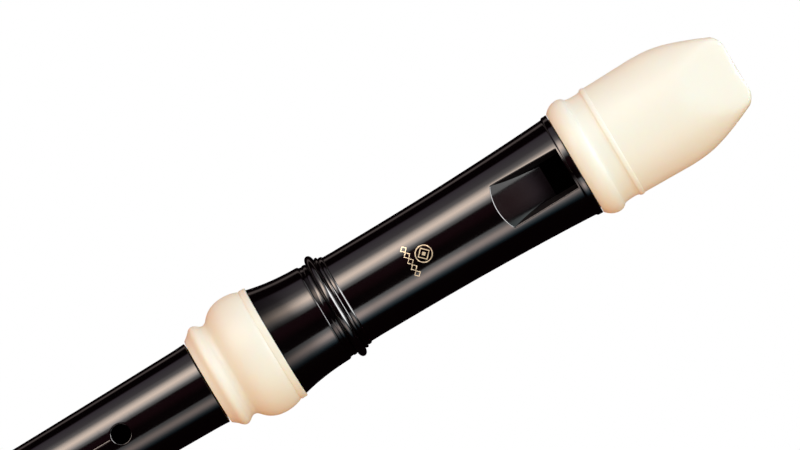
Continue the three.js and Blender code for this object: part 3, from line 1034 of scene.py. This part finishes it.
def gold_foil():
    """Hot-stamped foil, thin enough to break up a little."""
    paint = Paint("gold_foil")
    paint.set("Metallic", 1.0)
    wear = paint.noise(2500, 3.0)
    paint.colour(wear, (0.42, 0.35, 0.24), (0.64, 0.55, 0.40))
    paint.roughness(wear, 0.35, 0.6)
    paint.bumps((wear, 0.00001))
    return paint.material


# ---- the stage ----

TILT = math.radians(30.8)  # of the recorder in the picture
FRAME_WIDTH = 166.7  # of the picture, in millimetres at the recorder's axis
SENSOR = 36
AIM_STATION = 76.9
AIM_ACROSS = 7.64
EYE_STATION = 40.0
EYE_DISTANCE = 3200


def camera():
    data = bpy.data.cameras.new("camera")
    data.sensor_width = SENSOR
    data.lens = SENSOR * EYE_DISTANCE / FRAME_WIDTH
    data.clip_start = 0.05
    data.clip_end = 60
    eye = Vector(place(EYE_STATION, AIM_ACROSS, EYE_DISTANCE))
    aim = Vector(place(AIM_STATION, AIM_ACROSS, 0))
    back = (eye - aim).normalized()
    up = Vector((math.sin(TILT), math.cos(TILT), 0))
    right = up.cross(back).normalized()
    up = back.cross(right)
    made = add_object("camera", data)
    made.matrix_world = Matrix.Translation(eye) @ Matrix((right, up, back)).transposed().to_4x4()
    bpy.context.scene.camera = made


CARD_R = 0.8  # of the strip lights, in metres
CARD_STEPS = 40
FLOOR_HALF = 6.0


def ramp_node(nodes, stops):
    """A colour ramp through (position, colour) stops."""
    ramp = nodes.new("ShaderNodeValToRGB")
    elements = ramp.color_ramp.elements
    while len(elements) < len(stops):
        elements.new(0.5)
    for element, (position, colour) in zip(elements, stops):
        element.position = position
        element.color = (*colour, 1)
    return ramp


def emitting(name, strength):
    """A material that only gives light, with its nodes, its links and its emission shader."""
    material = bpy.data.materials.new(name)
    material.use_nodes = True
    nodes, links = material.node_tree.nodes, material.node_tree.links
    nodes.clear()
    light = nodes.new("ShaderNodeEmission")
    light.inputs["Strength"].default_value = strength
    output = nodes.new("ShaderNodeOutputMaterial")
    links.new(light.outputs["Emission"], output.inputs["Surface"])
    return material, nodes, links, light


def glow(name, across, along, strength):
    """An emitting material with one run of colours across a card and one along it."""
    material, nodes, links, light = emitting(name, strength)
    coordinates = nodes.new("ShaderNodeUVMap")
    coordinates.uv_map = "card"
    split = nodes.new("ShaderNodeSeparateXYZ")
    product = nodes.new("ShaderNodeVectorMath")
    product.operation = "MULTIPLY"
    links.new(coordinates.outputs["UV"], split.inputs["Vector"])
    for i, (axis, stops) in enumerate((("X", across), ("Y", along))):
        ramp = ramp_node(nodes, stops)
        links.new(split.outputs[axis], ramp.inputs["Fac"])
        links.new(ramp.outputs["Color"], product.inputs[i])
    links.new(product.outputs["Vector"], light.inputs["Color"])
    return material


def scaled(stops, start, stop):
    """Stops given in a card's own units, as fractions of its width. A bare number is a grey."""
    out = []
    for spot, colour in stops:
        shade = colour if isinstance(colour, tuple) else (colour, colour, colour)
        out.append(((spot - start) / (stop - start), shade))
    return out


def card(name, points, faces, uvs, material):
    """A card that only gloss sees."""
    mesh = bpy.data.meshes.new(name)
    mesh.from_pydata(points, [], faces)
    layer = mesh.uv_layers.new(name="card")
    for loop in mesh.loops:
        layer.data[loop.index].uv = uvs[loop.vertex_index]
    mesh.materials.append(material)
    made = add_object(name, mesh)
    for sight in ("visible_camera", "visible_diffuse", "visible_transmission", "visible_shadow"):
        setattr(made, sight, False)


def strip_light(name, across, along, strength):
    """A strip light curved round the recorder.

    The stops across it are at degrees off the zenith, and those along it at metres of X.
    """
    first, last = across[0][0], across[-1][0]
    low, high = along[0][0], along[-1][0]
    points, uvs = [], []
    for t in np.linspace(0, 1, CARD_STEPS + 1):
        turn = math.radians(first + (last - first) * t)
        y, z = CARD_R * math.sin(turn), AXIS_Z + CARD_R * math.cos(turn)
        points += [(low, y, z), (high, y, z)]
        uvs += [(t, 0), (t, 1)]
    faces = [(2 * i, 2 * i + 1, 2 * i + 3, 2 * i + 2) for i in range(CARD_STEPS)]
    material = glow(name, scaled(across, first, last), scaled(along, low, high), strength)
    card(name, points, faces, uvs, material)


def end_light():
    """A soft box beyond the beak, which lights the beak side of every ring."""
    x, wide, low, high = 1.0, 0.5, -0.2, 0.8
    points = [(x, -wide, low), (x, wide, low), (x, wide, high), (x, -wide, high)]
    edges = [(0, 0.0), (0.15, 1.0), (0.85, 1.0), (1, 0.0)]
    stops = scaled(edges, 0, 1)
    material = glow("end_light", stops, stops, 20.0)
    card("end_light", points, [(0, 1, 2, 3)], [(0, 0), (1, 0), (1, 1), (0, 1)], material)


def floor():
    """A plain pale table top under the recorder."""
    mesh = bpy.data.meshes.new("floor")
    size = FLOOR_HALF
    corners = [(-size, -size, 0), (size, -size, 0), (size, size, 0), (-size, size, 0)]
    mesh.from_pydata(corners, [], [(0, 1, 2, 3)])
    mesh.materials.append(emitting("floor_white", 1.0)[0])
    plane = add_object("floor", mesh)
    plane.visible_glossy = False
    plane.visible_diffuse = False


def sky():
    """Soft light from all round for the ivory: white from above, warmer from below and the foot.

    Gloss sees almost none of it, so the black stays black between its strip lights.
    """
    world = bpy.data.worlds.new("sky")
    bpy.context.scene.world = world
    world.use_nodes = True
    nodes, links = world.node_tree.nodes, world.node_tree.links
    backdrop = nodes["Background"]
    direction = nodes.new("ShaderNodeTexCoord")
    joined = nodes.new("ShaderNodeCombineXYZ")
    lean = ((0.08, 0.10, 0.34), (0.37, 0.18, 0.74), (0.60, 0.33, 1.14))
    for channel, weights, level in zip("XYZ", lean, (0.82, 0.56, 0.27)):
        dot = nodes.new("ShaderNodeVectorMath")
        dot.operation = "DOT_PRODUCT"
        dot.inputs[1].default_value = weights
        links.new(direction.outputs["Generated"], dot.inputs[0])
        value = dot.outputs["Value"]
        for operation, number in (("ADD", level), ("MAXIMUM", 0.0)):
            step = nodes.new("ShaderNodeMath")
            step.operation = operation
            step.inputs[1].default_value = number
            links.new(value, step.inputs[0])
            value = step.outputs["Value"]
        links.new(value, joined.inputs[channel])
    links.new(joined.outputs["Vector"], backdrop.inputs["Color"])
    dark = nodes.new("ShaderNodeBackground")
    dark.inputs["Color"].default_value = (0.004, 0.002, 0.003, 1)
    rays = nodes.new("ShaderNodeLightPath")
    choice = nodes.new("ShaderNodeMixShader")
    links.new(rays.outputs["Is Glossy Ray"], choice.inputs["Fac"])
    links.new(backdrop.outputs["Background"], choice.inputs[1])
    links.new(dark.outputs["Background"], choice.inputs[2])
    links.new(choice.outputs["Shader"], nodes["World Output"].inputs["Surface"])


def studio():
    """The strip lights whose reflections draw the long highlights, as the picture has them."""
    bpy.context.scene.view_settings.view_transform = "Standard"
    sky()
    upper = [
        (22, 0.06), (28, 0.15), (34, (0.45, 0.41, 0.385)), (45, (1.0, 0.80, 0.67)),
        (52, (0.76, 0.63, 0.54)), (64, (0.15, 0.139, 0.135)), (76, (0.053, 0.048, 0.051)),
        (94, (0.034, 0.029, 0.034)), (98, (0.03, 0.025, 0.03)), (102, (0.003, 0.001, 0.002)),
    ]
    upper_along = [(-1.5, 1.0), (0.1, 1.0), (0.17, 0.66), (0.215, 0.36), (0.35, 0.18), (0.45, 0.14)]
    strip_light("upper_strip", upper, upper_along, 15.0)
    lower = [
        (-30.8, 0.26), (-35, 0.3), (-40, (0.5, 0.44, 0.42)), (-46, (0.86, 0.70, 0.63)),
        (-51.5, (0.82, 0.67, 0.62)), (-57.5, (0.43, 0.39, 0.38)), (-64, (0.11, 0.135, 0.15)),
        (-70.5, (0.012, 0.03, 0.04)), (-76, 0.0),
    ]
    lower_along = [(-1.5, 0.45), (0.01, 0.45), (0.075, 1.0), (0.1, 1.0), (0.2, 0.5), (0.35, 0.3), (0.45, 0.2)]
    strip_light("lower_strip", lower, lower_along, 8.3)
    end_along = [(0.43, 0.1), (0.45, 0.6), (0.49, 1.0), (0.535, 0.68), (0.6, 0.52), (0.7, 0.44), (1.0, 0.44)]
    strip_light("upper_end", [(22.8, 1.0), (65, 1.0), (78, 0.5), (102, 0.4)], end_along, 5.0)
    end_along = [(0.45, 1.0), (0.55, 1.0), (0.6, 0.8), (0.65, 0.6), (0.7, 0.45), (1.0, 0.45)]
    cool = (0.85, 1.0, 1.0)
    strip_light("lower_end", [(-26.3, 0.6), (-30, cool), (-60, cool), (-76, 0.0)], end_along, 2.4)
    between = [
        (0.45, 0.0), (0.475, (0.05, 0.03, 0.04)), (0.5, (0.145, 0.1, 0.125)),
        (0.525, (0.36, 0.26, 0.31)), (0.565, (0.5, 0.36, 0.41)), (0.61, (0.46, 0.31, 0.33)),
        (0.7, (0.36, 0.2, 0.22)), (0.735, (0.27, 0.15, 0.16)), (0.77, (0.33, 0.19, 0.2)),
        (0.9, (0.3, 0.18, 0.19)),
    ]
    strip_light("between_end", [(-23, 0.5), (-8, 1.0), (20.5, 1.0)], between, 1.0)
    red = (1.0, 0.28, 0.42)
    strip_light("between_glow", [(-10, 0.0), (6, red), (20.5, red)], [(-1.5, 1.0), (0.43, 1.0)], 0.1)
    line = (1.0, 0.8, 0.76)
    edge = [(128, 0.0), (131.5, line), (138, line), (142, 0.0)]
    strip_light("edge_line", edge, [(-1.5, 1.0), (1.0, 1.0)], 0.4)
    end_light()


# ---- assembly ----


def finish(piece, node, body, slot, *materials):
    for material in materials:
        piece.data.materials.append(material)
    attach(piece, body)
    if node:
        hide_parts(node)


camera()
studio()
floor()

black = black_plastic()
dull = black_inside()
ivory = ivory_plastic("ivory_plastic", (0.93, 0.875, 0.76), (0.90, 0.84, 0.72))
# painted shade: the rings get a deeper, warmer copy of the cap's ivory, which stands in for the dimmer light
# that reaches them along the recorder
ring_ivory_painted_shade = ivory_plastic("ring_ivory_painted_shade", (0.92, 0.84, 0.715), (0.89, 0.805, 0.675))
gold = gold_foil()

finish(beak_cap(), "beak_cap", "head_joint", "ivory_plastic", ivory)
finish(block(), "block", "head_joint", "black_plastic", dull)
finish(head_tube(), "head_tube", "head_joint", "black_plastic", black, dull)
finish(stamp(), None, "head_joint", "gold_stamp", gold)
finish(head_ring(), "head_ring", "head_carrier", "ivory_plastic", ring_ivory_painted_shade)
finish(body_tube(), "body_tube", "middle_joint", "black_plastic", black, dull)
finish(foot_ring(), "foot_ring", "foot_carrier", "ivory_plastic", ring_ivory_painted_shade)
finish(foot_tube(), "foot_tube", "foot_joint", "black_plastic", black, dull)

bpy.context.view_layer.update()
